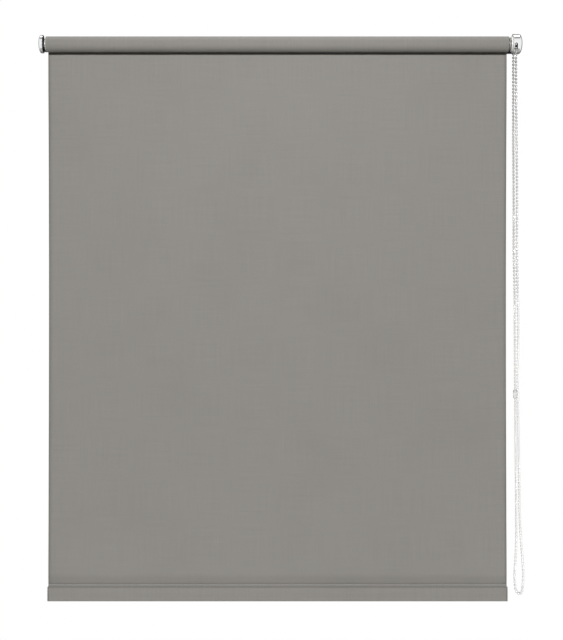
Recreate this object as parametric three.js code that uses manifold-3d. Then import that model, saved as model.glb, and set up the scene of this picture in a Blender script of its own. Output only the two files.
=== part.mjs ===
// A chain-operated roller blind on two small wall brackets, in millimetres.
// X runs along the roller towards the chain, Y towards the wall and Z up. The origin is on the wall,
// at the height of the roller's axis and in the middle of the fabric.
import * as THREE from 'three';
import { mergeVertices } from 'three/addons/utils/BufferGeometryUtils.js';
import Module from 'manifold-3d';

const wasm = await Module();
wasm.setup();

// ---- Driving dimensions ----

const clearance = 0.3; // all round, between pieces that slide or turn on each other
const roundSides = 36; // flats round a full turn of a round piece
const axisToWall = 30;

// Fabric
const fabricWidth = 800;
const fabricDrop = 969; // from the roller's axis to the underside of the hem
const fabricThickness = 0.4;
const woundThickness = 0.7; // the turns left on the tube with the blind down

// Tube
const tubeDiameter = 25;
const tubeWall = 1.4;
const tubeFlatDepth = 0.7; // the flat along the tube that the strip lies on
const keyWidth = 3;
const keyHeight = 1.8;
const stripWidth = 5;
const stripThickness = 0.4;

// Hem and bottom bar
const barHeight = 24;
const barThickness = 4.4;
const barWall = 0.8;
const seamHeight = 3; // the welded strip where both layers of the hem meet
const barCapThickness = 0.9;
const barCapTongue = 12;

// Ball chain
const ballDiameter = 4.5;
const ballPitch = 6;
const pocketCount = 12;
const connectorLength = 13;
const connectorWall = 0.9;

// Clutch, on the control end
const hubLength = 27;
const hubFlangeThickness = 1;
const hubNeckRadius = 9.2;
const hubNeckLength = 2.3;
const hubFlangeInset = 0.7; // how far the end flanges stay inside the tube's outside
const hubEndWall = 2.3;
const coreRadius = 5;
const coreBackThickness = 1.8;
const lugSize = 7;
const retainerThickness = 0.8;
const retainerRadius = 7.5;
const retainerGroove = 0.8; // depth of its groove in the core
const coreNose = 2; // of the core, past the retainer
const springWire = 1.2;
const springTurns = 4;
const springLength = 8;
const springGap = 1; // between the two wrap springs
const tangOffset = 2; // sideways from the middle of the sleeve's slot
const sleeveWall = 0.7;
const sleeveSlot = 6;
const hubRibWidth = 2;
const wheelCheek = 0.55; // wall of the chain wheel beside the balls
const wheelRimHeight = 1.1; // rim above the middle of the balls
const pocketRoom = 0.15; // round each ball in its pocket
const wireGrooveWidth = 1.4; // for the wire between balls
const guardWall = 0.8; // of its drum
const guardFace = 1; // of the drum's end
const guardNeckRadius = 9.4;
const guardFlangeRadius = 12.5;
const guardFlangeThickness = 2.2;
const guardFlangeGap = 0.6; // both beside the guard's flange and behind it

// Round end covers
const coverWall = 1.3;
const coverFullness = 2.5; // the exponent of a cover's outline: 2 for an ellipse, more for a squarer dome
const coverRoom = 0.7; // between a cover and the widest thing inside it
const controlCoverDome = 6.4;
const chainWindow = 7.6; // width of the arched opening for the chain, at the bottom
const chainWindowArch = 4.6; // its width where its round top starts
const chainWindowTop = -1; // height of the opening's top above the roller's axis
const rearSlotTop = -2;
const idleCoverDome = 4;

// Brackets
const bracketThickness = 1.5;
const bracketHeadRadius = 13.5;
const bracketLeg = 26; // along the wall, behind the fabric
const legTop = 13;
const controlLegBottom = -10;
const idleLegBottom = -7;
const screwHole = 4.5;
const screwEdge = 7; // from the ends of the leg to the middle of the screw holes

// Idle end
const plugLength = 36;
const plugFlangeThickness = 1.2;
const plugNeckRadius = 8.5;
const plugNeckLength = 3.4;
const pinRadius = 3;
const pinTail = 15; // behind the collar
const pinCollarRadius = 5.1;
const pinCollarThickness = 2.7;
const pinTravel = 6;
const pinSunk = 0.9; // how far inside the plug's neck the pin's tip is when pushed in
const pinGuide = 12.9; // length of the plug's close bore
const pinSpringWire = 0.7;
const pinSpringTurns = 6;
const seatRingThickness = 1;
const seatRingDepth = 1.8; // of its inner face, in from the plug's inner end
const seatRingGroove = 0.7; // depth of its groove in the plug
const bushWall = 0.7;
const bushFlange = 1.5;
const bushFlangeRadius = 6;

// ---- Sizes worked out from them ----

const halfWidth = fabricWidth / 2;
const tubeRadius = tubeDiameter / 2;
const tubeInside = tubeRadius - tubeWall;
const rollInside = tubeRadius + clearance;
const rollRadius = rollInside + woundThickness;
const sheetMiddle = rollRadius + clearance + fabricThickness / 2; // from the axis towards the wall
const pocketInside = clearance; // between the bar and the cloth round it
const hemOvalHeight = barHeight + 2 * (pocketInside + fabricThickness);
const hemOvalThickness = barThickness + 2 * (pocketInside + fabricThickness);
const hemOvalMiddle = -fabricDrop + hemOvalHeight / 2;
const seamTop = -fabricDrop + hemOvalHeight + seamHeight;

const plugRadius = tubeInside - clearance;
const endFlangeRadius = tubeRadius - hubFlangeInset;
const ballRadius = ballDiameter / 2;
const pitchRadius = ballPitch / (2 * Math.sin(Math.PI / pocketCount));
const coreBore = coreRadius + clearance;
const springMiddle = coreBore + springWire / 2;
const sleeveInside = coreBore + springWire + 2 * clearance;
const sleeveOutside = sleeveInside + sleeveWall;
const hubBore = sleeveOutside + clearance;

// Distances outward from the fabric's edge at the control end
const hubFlangeStart = clearance;
const hubFlangeEnd = hubFlangeStart + hubFlangeThickness;
const hubNeckEnd = hubFlangeEnd + hubNeckLength;
const guardStart = hubNeckEnd + guardFlangeGap;
const guardFlangeEnd = guardStart + guardFlangeThickness;
const guardDrumStart = guardFlangeEnd + guardFlangeGap;
const guardDrumInside = guardDrumStart + guardFace;
const wheelStart = guardDrumInside + clearance;
const wheelWidth = ballDiameter + 2 * wheelCheek;
const wheelEnd = wheelStart + wheelWidth;
const chainPlane = wheelStart + wheelWidth / 2;
const coreBackStart = wheelEnd + 2 * clearance;
const coreBackEnd = coreBackStart + coreBackThickness;
const controlPlateStart = coreBackEnd + clearance;
const controlPlateEnd = controlPlateStart + bracketThickness;
const lugEnd = controlPlateEnd + clearance;
const drumInside = pitchRadius + ballRadius + clearance;
const drumRadius = drumInside + guardWall;
const widestInCover = Math.max(drumRadius, bracketHeadRadius);
const controlCoverRadius = Math.ceil(widestInCover + coverRoom + coverWall); // whole millimetres
const hubInnerEnd = -hubLength;
const retainerStart = hubInnerEnd - 2 * clearance - retainerThickness;
const innerSpringStart = hubInnerEnd + hubEndWall + 3 * clearance;
const outerSpringStart = innerSpringStart + springLength + springGap;

// Distances outward from the fabric's edge at the idle end
const plugNeckStart = clearance + plugFlangeThickness;
const plugNeckEnd = plugNeckStart + plugNeckLength;
const bushStart = plugNeckEnd + clearance;
const idlePlateStart = bushStart + bushFlange + clearance;
const idlePlateEnd = idlePlateStart + bracketThickness;
const bushRadius = pinRadius + clearance + bushWall;
const idleCoverRadius = bracketHeadRadius + coverRoom + coverWall;
const pinTip = plugNeckEnd + pinTravel - pinSunk;
const collarEnd = plugNeckEnd - pinGuide - clearance;
const collarStart = collarEnd - pinCollarThickness;
const seatRingStart = -plugLength + seatRingDepth - seatRingThickness;

// ---- Making and cutting solids ----

function solidOf(geometry) {
  const bare = geometry.clone();
  bare.deleteAttribute('normal');
  bare.deleteAttribute('uv');
  const merged = mergeVertices(bare, 1e-5);
  return new wasm.Manifold(new wasm.Mesh({
    numProp: 3,
    vertProperties: new Float32Array(merged.attributes.position.array),
    triVerts: new Uint32Array(merged.index.array),
  }));
}

function geometryOf(solid) {
  const { vertProperties, triVerts } = solid.getMesh();
  const geometry = new THREE.BufferGeometry();
  geometry.setAttribute('position', new THREE.BufferAttribute(vertProperties, 3));
  geometry.setIndex(new THREE.BufferAttribute(triVerts, 1));
  return geometry;
}

function cut(body, ...tools) {
  return geometryOf(tools.reduce((left, tool) => left.subtract(solidOf(tool)), solidOf(body)));
}

function join(...bodies) {
  return geometryOf(bodies.map(solidOf).reduce((whole, next) => whole.add(next)));
}

// A solid turned about the X axis. The profile's [radius, distance along X] pairs go outwards along the
// near end, forwards along the outside and back.
function turned(profile, sides = roundSides) {
  const points = profile.map(([radius, along]) => new THREE.Vector2(radius, along));
  return new THREE.LatheGeometry(points, sides).rotateZ(-Math.PI / 2);
}

function ring(inside, outside, from, to, sides = roundSides) {
  return turned([[inside, from], [outside, from], [outside, to], [inside, to], [inside, from]], sides);
}

function rod(radius, from, to, sides = roundSides) {
  return turned([[0, from], [radius, from], [radius, to], [0, to]], sides);
}

function block(low, high) {
  const size = high.map((value, axis) => value - low[axis]);
  const middle = high.map((value, axis) => (value + low[axis]) / 2);
  return new THREE.BoxGeometry(...size).translate(...middle);
}

// An outline drawn in Y and Z, carried along X
const outlineToX = new THREE.Matrix4().set(0, 0, 1, 0, 1, 0, 0, 0, 0, 1, 0, 0, 0, 0, 0, 1);
function carried(outline, from, to, curveSegments = 8) {
  const geometry = new THREE.ExtrudeGeometry(outline, {
    depth: to - from,
    bevelEnabled: false,
    curveSegments,
  });
  return geometry.applyMatrix4(outlineToX).translate(from, 0, 0);
}

function flatOval(height, thickness) {
  const radius = thickness / 2;
  const straight = height / 2 - radius;
  const outline = new THREE.Shape();
  outline.absarc(0, straight, radius, 0, Math.PI, false);
  outline.absarc(0, -straight, radius, Math.PI, 2 * Math.PI, false);
  return outline;
}

class Helix extends THREE.Curve {
  constructor(radius, from, to, startAngle, sweep) {
    super();
    Object.assign(this, { radius, from, to, startAngle, sweep });
  }

  getPoint(share, target = new THREE.Vector3()) {
    const angle = this.startAngle + share * this.sweep;
    const along = this.from + share * (this.to - this.from);
    return target.set(along, this.radius * Math.cos(angle), this.radius * Math.sin(angle));
  }
}

function wireSection(diameter, sides) {
  const corners = [];
  for (let i = 0; i < sides; i += 1) {
    const angle = (2 * Math.PI * i) / sides;
    corners.push(new THREE.Vector2(Math.cos(angle), Math.sin(angle)).multiplyScalar(diameter / 2));
  }
  return new THREE.Shape(corners);
}

const helixStepsPerTurn = 14;
function coil(wire, helix) {
  const steps = Math.round((helix.sweep / (2 * Math.PI)) * helixStepsPerTurn);
  return new THREE.ExtrudeGeometry(wireSection(wire, 6), { steps, extrudePath: helix });
}

// ---- Roller ----

function rollerTube() {
  const flatAt = tubeRadius - tubeFlatDepth;
  const flat = block([-halfWidth - 1, -tubeRadius, flatAt], [halfWidth + 1, tubeRadius, tubeRadius + 1]);
  const key = block(
    [-halfWidth, -keyWidth / 2, -tubeInside - tubeWall / 2],
    [halfWidth, keyWidth / 2, -tubeInside + keyHeight],
  );
  const pipe = ring(tubeInside, tubeRadius, -halfWidth, halfWidth);
  return cut(join(pipe, key), flat);
}

function adhesiveStrip() {
  const flatAt = tubeRadius - tubeFlatDepth;
  return block([-halfWidth, -stripWidth / 2, flatAt], [halfWidth, stripWidth / 2, flatAt + stripThickness]);
}

function fabricRoll() {
  return ring(rollInside, rollRadius, -halfWidth, halfWidth);
}

// The groove that the tube's key rib slides in
function keyway(from, to) {
  const half = keyWidth / 2 + clearance;
  return block([from, -half, -tubeInside - 1], [to, half, -tubeInside + keyHeight + clearance]);
}

// ---- Hanging fabric and hem ----

function fabricSheet() {
  return block(
    [-halfWidth, sheetMiddle - fabricThickness / 2, seamTop + clearance],
    [halfWidth, sheetMiddle + fabricThickness / 2, 0],
  );
}

function hemPocket() {
  const pocket = carried(flatOval(hemOvalHeight, hemOvalThickness), -halfWidth, halfWidth);
  const seam = block(
    [-halfWidth, -fabricThickness, hemOvalHeight / 2 - fabricThickness],
    [halfWidth, fabricThickness, hemOvalHeight / 2 + seamHeight],
  );
  const inside = flatOval(barHeight + 2 * pocketInside, barThickness + 2 * pocketInside);
  return cut(join(pocket, seam), carried(inside, -halfWidth - 1, halfWidth + 1))
    .translate(0, sheetMiddle, hemOvalMiddle);
}

function bottomBar() {
  const outline = flatOval(barHeight, barThickness);
  outline.holes.push(flatOval(barHeight - 2 * barWall, barThickness - 2 * barWall));
  return carried(outline, -halfWidth, halfWidth).translate(0, sheetMiddle, hemOvalMiddle);
}

// A cap's plate covers the end of the hem, and its tongue goes into the bar
function barEndCap(side) {
  const inset = 2 * (barWall + clearance);
  const plateStart = halfWidth + clearance;
  const plate = carried(flatOval(hemOvalHeight, hemOvalThickness), plateStart, plateStart + barCapThickness);
  const tongue = carried(
    flatOval(barHeight - inset, barThickness - inset),
    halfWidth - barCapTongue,
    plateStart + barCapThickness / 2,
  );
  const cap = join(plate, tongue).translate(0, sheetMiddle, hemOvalMiddle);
  return side > 0 ? cap : cap.rotateZ(Math.PI).translate(0, 2 * sheetMiddle, 0);
}

// ---- Brackets: a round head round the roller's axis, and a leg screwed to the wall ----

function bracket(plateStart, legBottom, headHole, wallSide) {
  const outline = new THREE.Shape();
  outline.absarc(0, 0, bracketHeadRadius, 0, 2 * Math.PI, false);
  const plateEnd = plateStart + bracketThickness;
  const wall = wallSide * axisToWall;
  const arm = block([plateStart, Math.min(0, wall), legBottom], [plateEnd, Math.max(0, wall), legTop]);
  const inner = wall - wallSide * bracketThickness;
  const leg = block(
    [plateEnd - bracketLeg, Math.min(wall, inner), legBottom],
    [plateEnd, Math.max(wall, inner), legTop],
  );
  const holes = [plateStart - screwEdge, plateEnd - bracketLeg + screwEdge].map((along) => (
    new THREE.CylinderGeometry(screwHole / 2, screwHole / 2, 4 * bracketThickness, 16)
      .translate(along, wall, (legTop + legBottom) / 2)
  ));
  return cut(join(carried(outline, plateStart, plateEnd, 24), arm, leg), headHole, ...holes);
}

// ---- Control end, outward from the fabric's edge ----

function driveHub() {
  const body = turned([
    [coreBore, hubInnerEnd],
    [plugRadius, hubInnerEnd],
    [plugRadius, hubFlangeStart],
    [endFlangeRadius, hubFlangeStart],
    [endFlangeRadius, hubFlangeEnd],
    [hubNeckRadius, hubFlangeEnd],
    [hubNeckRadius, hubNeckEnd],
    [hubBore, hubNeckEnd],
    [hubBore, hubInnerEnd + hubEndWall],
    [coreBore, hubInnerEnd + hubEndWall],
    [coreBore, hubInnerEnd],
  ]);
  const rib = block(
    [hubInnerEnd + hubEndWall / 2, -hubRibWidth / 2, sleeveInside],
    [0, hubRibWidth / 2, hubBore + 1],
  );
  return cut(join(body, rib), keyway(hubInnerEnd - 1, 0));
}

function clutchCore() {
  const shaft = turned([
    [0, retainerStart - coreNose],
    [coreRadius, retainerStart - coreNose],
    [coreRadius, retainerStart - clearance],
    [coreRadius - retainerGroove, retainerStart - clearance],
    [coreRadius - retainerGroove, retainerStart + retainerThickness + clearance],
    [coreRadius, retainerStart + retainerThickness + clearance],
    [coreRadius, coreBackStart],
    [drumInside - clearance, coreBackStart],
    [drumInside - clearance, coreBackEnd],
    [0, coreBackEnd],
  ]);
  const lug = block(
    [coreBackEnd - coreBackThickness / 2, -lugSize / 2, -lugSize / 2],
    [lugEnd, lugSize / 2, lugSize / 2],
  );
  return join(shaft, lug);
}

function hubRetainer() {
  const bore = coreRadius - retainerGroove + clearance;
  return ring(bore, retainerRadius, retainerStart, retainerStart + retainerThickness);
}

// A coil gripping the core, its two ends turned out on either side of the hub's rib
function wrapSpring(from) {
  const to = from + springLength;
  const start = Math.PI / 2 + Math.asin(tangOffset / springMiddle);
  const sweep = 2 * Math.PI * springTurns - 2 * (start - Math.PI / 2);
  const half = springWire / 2;
  const helix = new Helix(springMiddle, from + half, to - half, start, sweep);
  const tangs = [[from, -1], [to - springWire, 1]].map(([along, side]) => block(
    [along, side * tangOffset - half, springMiddle * 0.9],
    [along + springWire, side * tangOffset + half, sleeveInside + clearance],
  ));
  return join(coil(springWire, helix), ...tangs);
}

function chainWheel() {
  const rim = pitchRadius + wheelRimHeight;
  const sleeveEnd = hubInnerEnd + hubEndWall + clearance;
  const body = turned([
    [sleeveInside, sleeveEnd],
    [sleeveOutside, sleeveEnd],
    [sleeveOutside, wheelStart],
    [rim, wheelStart],
    [rim, wheelEnd],
    [coreBore, wheelEnd],
    [coreBore, wheelStart - 1],
    [sleeveInside, wheelStart - 1],
    [sleeveInside, sleeveEnd],
  ]);
  const slot = block(
    [sleeveEnd - 1, -sleeveSlot / 2, 0],
    [hubNeckEnd, sleeveSlot / 2, hubBore],
  );
  const grooveHalf = wireGrooveWidth / 2;
  const wireGroove = ring(pitchRadius - grooveHalf, rim + 1, chainPlane - grooveHalf, chainPlane + grooveHalf);
  const pockets = [];
  for (let i = 0; i < pocketCount; i += 1) {
    const angle = (2 * Math.PI * (i + 0.5)) / pocketCount;
    pockets.push(new THREE.SphereGeometry(ballRadius + pocketRoom, 10, 6)
      .translate(chainPlane, pitchRadius * Math.cos(angle), pitchRadius * Math.sin(angle)));
  }
  return cut(body, slot, wireGroove, ...pockets);
}

// A slot that lets one run of the chain down out of a drum: the front run on side -1, the back one on 1
function chainSlot(side, width, top, outside) {
  const innerEdge = pitchRadius - ballRadius - clearance;
  return block(
    [chainPlane - width / 2, Math.min(side * innerEdge, side * outside), -outside],
    [chainPlane + width / 2, Math.max(side * innerEdge, side * outside), top],
  );
}

function chainGuard() {
  const drum = turned([
    [hubBore, guardStart],
    [guardFlangeRadius, guardStart],
    [guardFlangeRadius, guardFlangeEnd],
    [guardNeckRadius, guardFlangeEnd],
    [guardNeckRadius, guardDrumStart],
    [drumRadius, guardDrumStart],
    [drumRadius, coreBackEnd],
    [drumInside, coreBackEnd],
    [drumInside, guardDrumInside],
    [hubBore, guardDrumInside],
    [hubBore, guardStart],
  ]);
  const width = ballDiameter + 4 * clearance;
  const outside = drumRadius + 1;
  return cut(drum, chainSlot(-1, width, chainWindowTop, outside), chainSlot(1, width, rearSlotTop, outside));
}

// A round cover open towards the roller, straight sided as far as the shoulder and domed beyond it
const domeSteps = 7;
function coverShell(radius, from, shoulder, dome) {
  const quarter = (reach, height) => {
    const points = [];
    for (let i = 0; i <= domeSteps; i += 1) {
      const angle = (Math.PI / 2) * (i / domeSteps);
      points.push([
        reach * Math.cos(angle) ** (2 / coverFullness),
        shoulder + height * Math.sin(angle) ** (2 / coverFullness),
      ]);
    }
    points[domeSteps][0] = 0;
    return points;
  };
  const inner = radius - coverWall;
  return turned([
    ...quarter(inner, dome - coverWall).reverse(),
    [inner, from],
    [radius, from],
    ...quarter(radius, dome),
  ]);
}

function bracketSlot(plateStart, legBottom, wallSide, outside) {
  const low = [plateStart - clearance, Math.min(0, wallSide * outside), legBottom - clearance];
  const high = [
    plateStart + bracketThickness + clearance,
    Math.max(0, wallSide * outside),
    legTop + clearance,
  ];
  return block(low, high);
}

function controlCover() {
  const from = guardDrumStart + clearance;
  const shell = coverShell(controlCoverRadius, from, controlPlateStart + clearance, controlCoverDome);
  const outside = controlCoverRadius + 1;
  const arch = chainWindowArch / 2;
  const window = new THREE.Shape();
  window.moveTo(chainPlane - chainWindow / 2, -outside);
  window.lineTo(chainPlane + chainWindow / 2, -outside);
  window.absarc(chainPlane, chainWindowTop - arch, arch, 0, Math.PI, false);
  const front = new THREE.ExtrudeGeometry(window, { depth: outside, bevelEnabled: false, curveSegments: 6 })
    .rotateX(Math.PI / 2)
    .translate(0, -pitchRadius + ballRadius + clearance, 0);
  const rear = chainSlot(1, chainWindow, rearSlotTop, outside);
  return cut(shell, front, rear, bracketSlot(controlPlateStart, controlLegBottom, 1, outside));
}

function controlBracket() {
  const half = lugSize / 2 + clearance;
  const lugHole = block([controlPlateStart - 1, -half, -half], [controlPlateEnd + 1, half, half]);
  return bracket(controlPlateStart, controlLegBottom, lugHole, 1);
}

// ---- Idle end, outward from the fabric's edge and turned round, so the wall is on the -Y side ----

function idlePlug() {
  const bore = pinCollarRadius + clearance;
  const groove = bore + seatRingGroove;
  const body = turned([
    [bore, -plugLength],
    [plugRadius, -plugLength],
    [plugRadius, clearance],
    [endFlangeRadius, clearance],
    [endFlangeRadius, plugNeckStart],
    [plugNeckRadius, plugNeckStart],
    [plugNeckRadius, plugNeckEnd],
    [pinRadius + clearance, plugNeckEnd],
    [pinRadius + clearance, plugNeckEnd - pinGuide],
    [bore, plugNeckEnd - pinGuide],
    [bore, seatRingStart + seatRingThickness + clearance],
    [groove, seatRingStart + seatRingThickness + clearance],
    [groove, seatRingStart - clearance],
    [bore, seatRingStart - clearance],
    [bore, -plugLength],
  ]);
  return cut(body, keyway(-plugLength - 1, 0));
}

function idlePin() {
  const chamfer = 0.8;
  return turned([
    [0, collarStart - pinTail],
    [pinRadius, collarStart - pinTail],
    [pinRadius, collarStart],
    [pinCollarRadius, collarStart],
    [pinCollarRadius, collarEnd],
    [pinRadius, collarEnd],
    [pinRadius, pinTip - chamfer],
    [pinRadius - chamfer, pinTip],
    [0, pinTip],
  ], 32);
}

function pinSpring() {
  const half = pinSpringWire / 2;
  const from = seatRingStart + seatRingThickness + clearance + half;
  const to = collarStart - clearance - half;
  const helix = new Helix((pinRadius + pinCollarRadius) / 2 + half, from, to, 0, 2 * Math.PI * pinSpringTurns);
  return coil(pinSpringWire, helix);
}

function springSeatRing() {
  const bore = pinRadius + clearance;
  const outside = pinCollarRadius + seatRingGroove;
  return ring(bore, outside, seatRingStart, seatRingStart + seatRingThickness, 32);
}

function bracketBush() {
  const bore = pinRadius + clearance;
  return turned([
    [bore, bushStart],
    [bushFlangeRadius, bushStart],
    [bushFlangeRadius, bushStart + bushFlange],
    [bushRadius, bushStart + bushFlange],
    [bushRadius, idlePlateEnd + clearance],
    [bore, idlePlateEnd + clearance],
    [bore, bushStart],
  ], 32);
}

function idleBracket() {
  const hole = rod(bushRadius + clearance, idlePlateStart - 1, idlePlateEnd + 1, 32);
  return bracket(idlePlateStart, idleLegBottom, hole, -1);
}

function idleCover() {
  const shell = coverShell(idleCoverRadius, bushStart + clearance, idlePlateEnd + clearance, idleCoverDome);
  return cut(shell, bracketSlot(idlePlateStart, idleLegBottom, -1, idleCoverRadius + 1));
}

// ---- Ball chain: the free loop below the guard. Its points go down the front run and up the back one, as
// [outward from the wheel's middle plane, towards the wall from the roller's axis, up from the axis]. ----

const chainRoute = [
  [0, -11.6, -9.6],
  [0, -11.6, -28],
  [0.2, -11.6, -90],
  [1.2, -11.5, -183],
  [1.9, -11.4, -276],
  [1.6, -11.2, -359],
  [2.6, -11, -411],
  [3.8, -10.9, -460],
  [3.9, -10.8, -514],
  [3.3, -10.6, -597],
  [4.6, -10.5, -680],
  [5.9, -10.4, -762],
  [7, -10.2, -822],
  [9.2, -10, -862],
  [11.8, -9.9, -894],
  [12.9, -9.8, -918],
  [12.4, -9.7, -931],
  [11.5, -9.2, -941.7],
  [10.9, -7.9, -946.8],
  [9.3, -4.5, -950.5],
  [7.2, 0.1, -951.9],
  [5.1, 4.7, -950.5],
  [3.5, 8.1, -946.8],
  [2.9, 9.4, -941.7],
  [2.2, 9.9, -931],
  [2.1, 10, -918],
  [3.6, 10.3, -894],
  [5, 10.5, -862],
  [5, 10.7, -822],
  [4.6, 10.9, -762],
  [3.8, 11, -680],
  [3.4, 11, -620],
  [3.2, 11, -594],
  [2.7, 11.1, -514],
  [2.5, 11.2, -452],
  [2, 11.3, -411],
  [0.8, 11.4, -359],
  [0.8, 11.5, -276],
  [0.2, 11.6, -183],
  [0, 11.6, -90],
  [0, 11.6, -28],
  [0, 11.6, -9.6],
];
const connectorHeight = -607;
const chainSteps = 80;

function chainCurve() {
  const points = chainRoute.map(([out, back, up]) => new THREE.Vector3(chainPlane + out, back, up));
  return new THREE.CatmullRomCurve3(points, false, 'centripetal');
}

function beadChain() {
  return new THREE.ExtrudeGeometry(wireSection(ballDiameter, 8), {
    steps: chainSteps,
    extrudePath: chainCurve(),
  });
}

// The connector is a sleeve round the back run, in line with it
function chainConnector() {
  const samples = chainCurve().getSpacedPoints(400).slice(200);
  const nearest = samples.reduce((best, point, index) => (
    Math.abs(point.z - connectorHeight) < Math.abs(samples[best].z - connectorHeight) ? index : best
  ), 0);
  const direction = samples[nearest + 1].clone().sub(samples[nearest - 1]).normalize();
  const half = connectorLength / 2;
  const bore = ballRadius + clearance;
  const turn = new THREE.Quaternion().setFromUnitVectors(new THREE.Vector3(1, 0, 0), direction);
  return ring(bore, bore + connectorWall, -half, half, 16)
    .applyQuaternion(turn)
    .translate(...samples[nearest].toArray());
}

// ---- Finishes ----

function finish(color, roughness, metalness = 0) {
  return new THREE.MeshStandardMaterial({ color, roughness, metalness });
}

const cloth = finish(0x938f87, 0.9);
const aluminium = finish(0xc4c6c8, 0.35, 1);
const chrome = finish(0xe8e8ea, 0.08, 1);
const blackSteel = finish(0x17171a, 0.4, 0.6);
const springSteel = finish(0x9a9ca0, 0.3, 1);
const nickel = finish(0xd6d4d0, 0.2, 1);
const whitePlastic = finish(0xe9e9e6, 0.45);
const blackPlastic = finish(0x141416, 0.35);
const greyPlastic = finish(0x8d8b84, 0.5);
const clearTape = finish(0xd9d3c2, 0.5);
const clearPlastic = finish(0xdcdcd8, 0.15);

// ---- Assembly ----

const blind = new THREE.Group();
const rollerLine = new THREE.Group();
rollerLine.position.y = -axisToWall;
blind.add(rollerLine);

const controlEnd = new THREE.Group();
controlEnd.position.x = halfWidth;
rollerLine.add(controlEnd);

const idleEnd = new THREE.Group();
idleEnd.position.x = -halfWidth;
idleEnd.rotation.z = Math.PI;
rollerLine.add(idleEnd);

function place(group, name, geometry, material) {
  const mesh = new THREE.Mesh(geometry, material);
  mesh.name = name;
  group.add(mesh);
}

place(rollerLine, 'roller_tube', rollerTube(), aluminium);
place(rollerLine, 'adhesive_strip', adhesiveStrip(), clearTape);
place(rollerLine, 'fabric_roll', fabricRoll(), cloth);
place(rollerLine, 'fabric_sheet', fabricSheet(), cloth);
place(rollerLine, 'hem_pocket', hemPocket(), cloth);
place(rollerLine, 'bottom_bar', bottomBar(), aluminium);
place(rollerLine, 'bar_cap_left', barEndCap(-1), greyPlastic);
place(rollerLine, 'bar_cap_right', barEndCap(1), greyPlastic);

place(controlEnd, 'control_bracket', controlBracket(), blackSteel);
place(controlEnd, 'clutch_core', clutchCore(), whitePlastic);
place(controlEnd, 'drive_hub', driveHub(), blackPlastic);
place(controlEnd, 'hub_retainer', hubRetainer(), springSteel);
place(controlEnd, 'wrap_spring_inner', wrapSpring(innerSpringStart), springSteel);
place(controlEnd, 'wrap_spring_outer', wrapSpring(outerSpringStart), springSteel);
place(controlEnd, 'chain_wheel', chainWheel(), blackPlastic);
place(controlEnd, 'chain_guard', chainGuard(), whitePlastic);
place(controlEnd, 'control_cover', controlCover(), chrome);
place(controlEnd, 'bead_chain', beadChain(), nickel);
place(controlEnd, 'chain_connector', chainConnector(), clearPlastic);

place(idleEnd, 'idle_bracket', idleBracket(), blackSteel);
place(idleEnd, 'bracket_bush', bracketBush(), whitePlastic);
place(idleEnd, 'idle_plug', idlePlug(), whitePlastic);
place(idleEnd, 'idle_pin', idlePin(), springSteel);
place(idleEnd, 'pin_spring', pinSpring(), springSteel);
place(idleEnd, 'spring_seat_ring', springSeatRing(), springSteel);
place(idleEnd, 'idle_cover', idleCover(), chrome);

export default blind;
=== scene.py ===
import math

import bmesh
import bpy
from mathutils import Matrix, Vector, geometry


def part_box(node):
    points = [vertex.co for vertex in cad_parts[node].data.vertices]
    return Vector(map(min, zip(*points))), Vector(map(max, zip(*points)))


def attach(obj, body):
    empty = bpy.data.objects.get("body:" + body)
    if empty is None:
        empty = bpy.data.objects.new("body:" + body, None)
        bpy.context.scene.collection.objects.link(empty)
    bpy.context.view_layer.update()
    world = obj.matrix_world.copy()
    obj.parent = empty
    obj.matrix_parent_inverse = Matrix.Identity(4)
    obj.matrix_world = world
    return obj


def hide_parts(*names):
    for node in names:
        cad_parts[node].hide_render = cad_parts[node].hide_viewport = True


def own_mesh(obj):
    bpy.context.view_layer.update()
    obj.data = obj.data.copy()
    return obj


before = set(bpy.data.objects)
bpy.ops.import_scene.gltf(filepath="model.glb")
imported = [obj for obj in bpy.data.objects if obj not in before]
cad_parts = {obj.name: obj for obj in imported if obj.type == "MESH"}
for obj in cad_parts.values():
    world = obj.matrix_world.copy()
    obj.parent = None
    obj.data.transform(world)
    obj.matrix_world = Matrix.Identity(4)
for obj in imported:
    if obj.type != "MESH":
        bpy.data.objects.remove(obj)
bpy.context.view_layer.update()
mm = 0.001


# ---- The room, its light and the camera ----
# The blind is shown on its own in a bright plain room. Most of the light comes level from the front,
# a lamp straight above brightens the roller, and a pale floor lies far below.

def put(tree, kind, inputs=(), **settings):
    """A new node. Each input is a value, or the output of another node that feeds it."""
    made = tree.nodes.new(kind)
    for name, value in settings.items():
        setattr(made, name, value)
    for socket, value in dict(inputs).items():
        if isinstance(value, bpy.types.NodeSocket):
            tree.links.new(value, made.inputs[socket])
        else:
            made.inputs[socket].default_value = value
    return made


def between(tree, value, from_low, from_high, to_low, to_high, smooth=False):
    """A value carried from one range of numbers to another."""
    kind = "SMOOTHSTEP" if smooth else "LINEAR"
    ends = {
        "Value": value, "From Min": from_low, "From Max": from_high, "To Min": to_low, "To Max": to_high
    }
    return put(tree, "ShaderNodeMapRange", ends, interpolation_type=kind).outputs["Result"]


def sums(tree, operation, *values):
    """Arithmetic on numbers or node outputs."""
    return put(tree, "ShaderNodeMath", enumerate(values), operation=operation).outputs["Value"]


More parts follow.
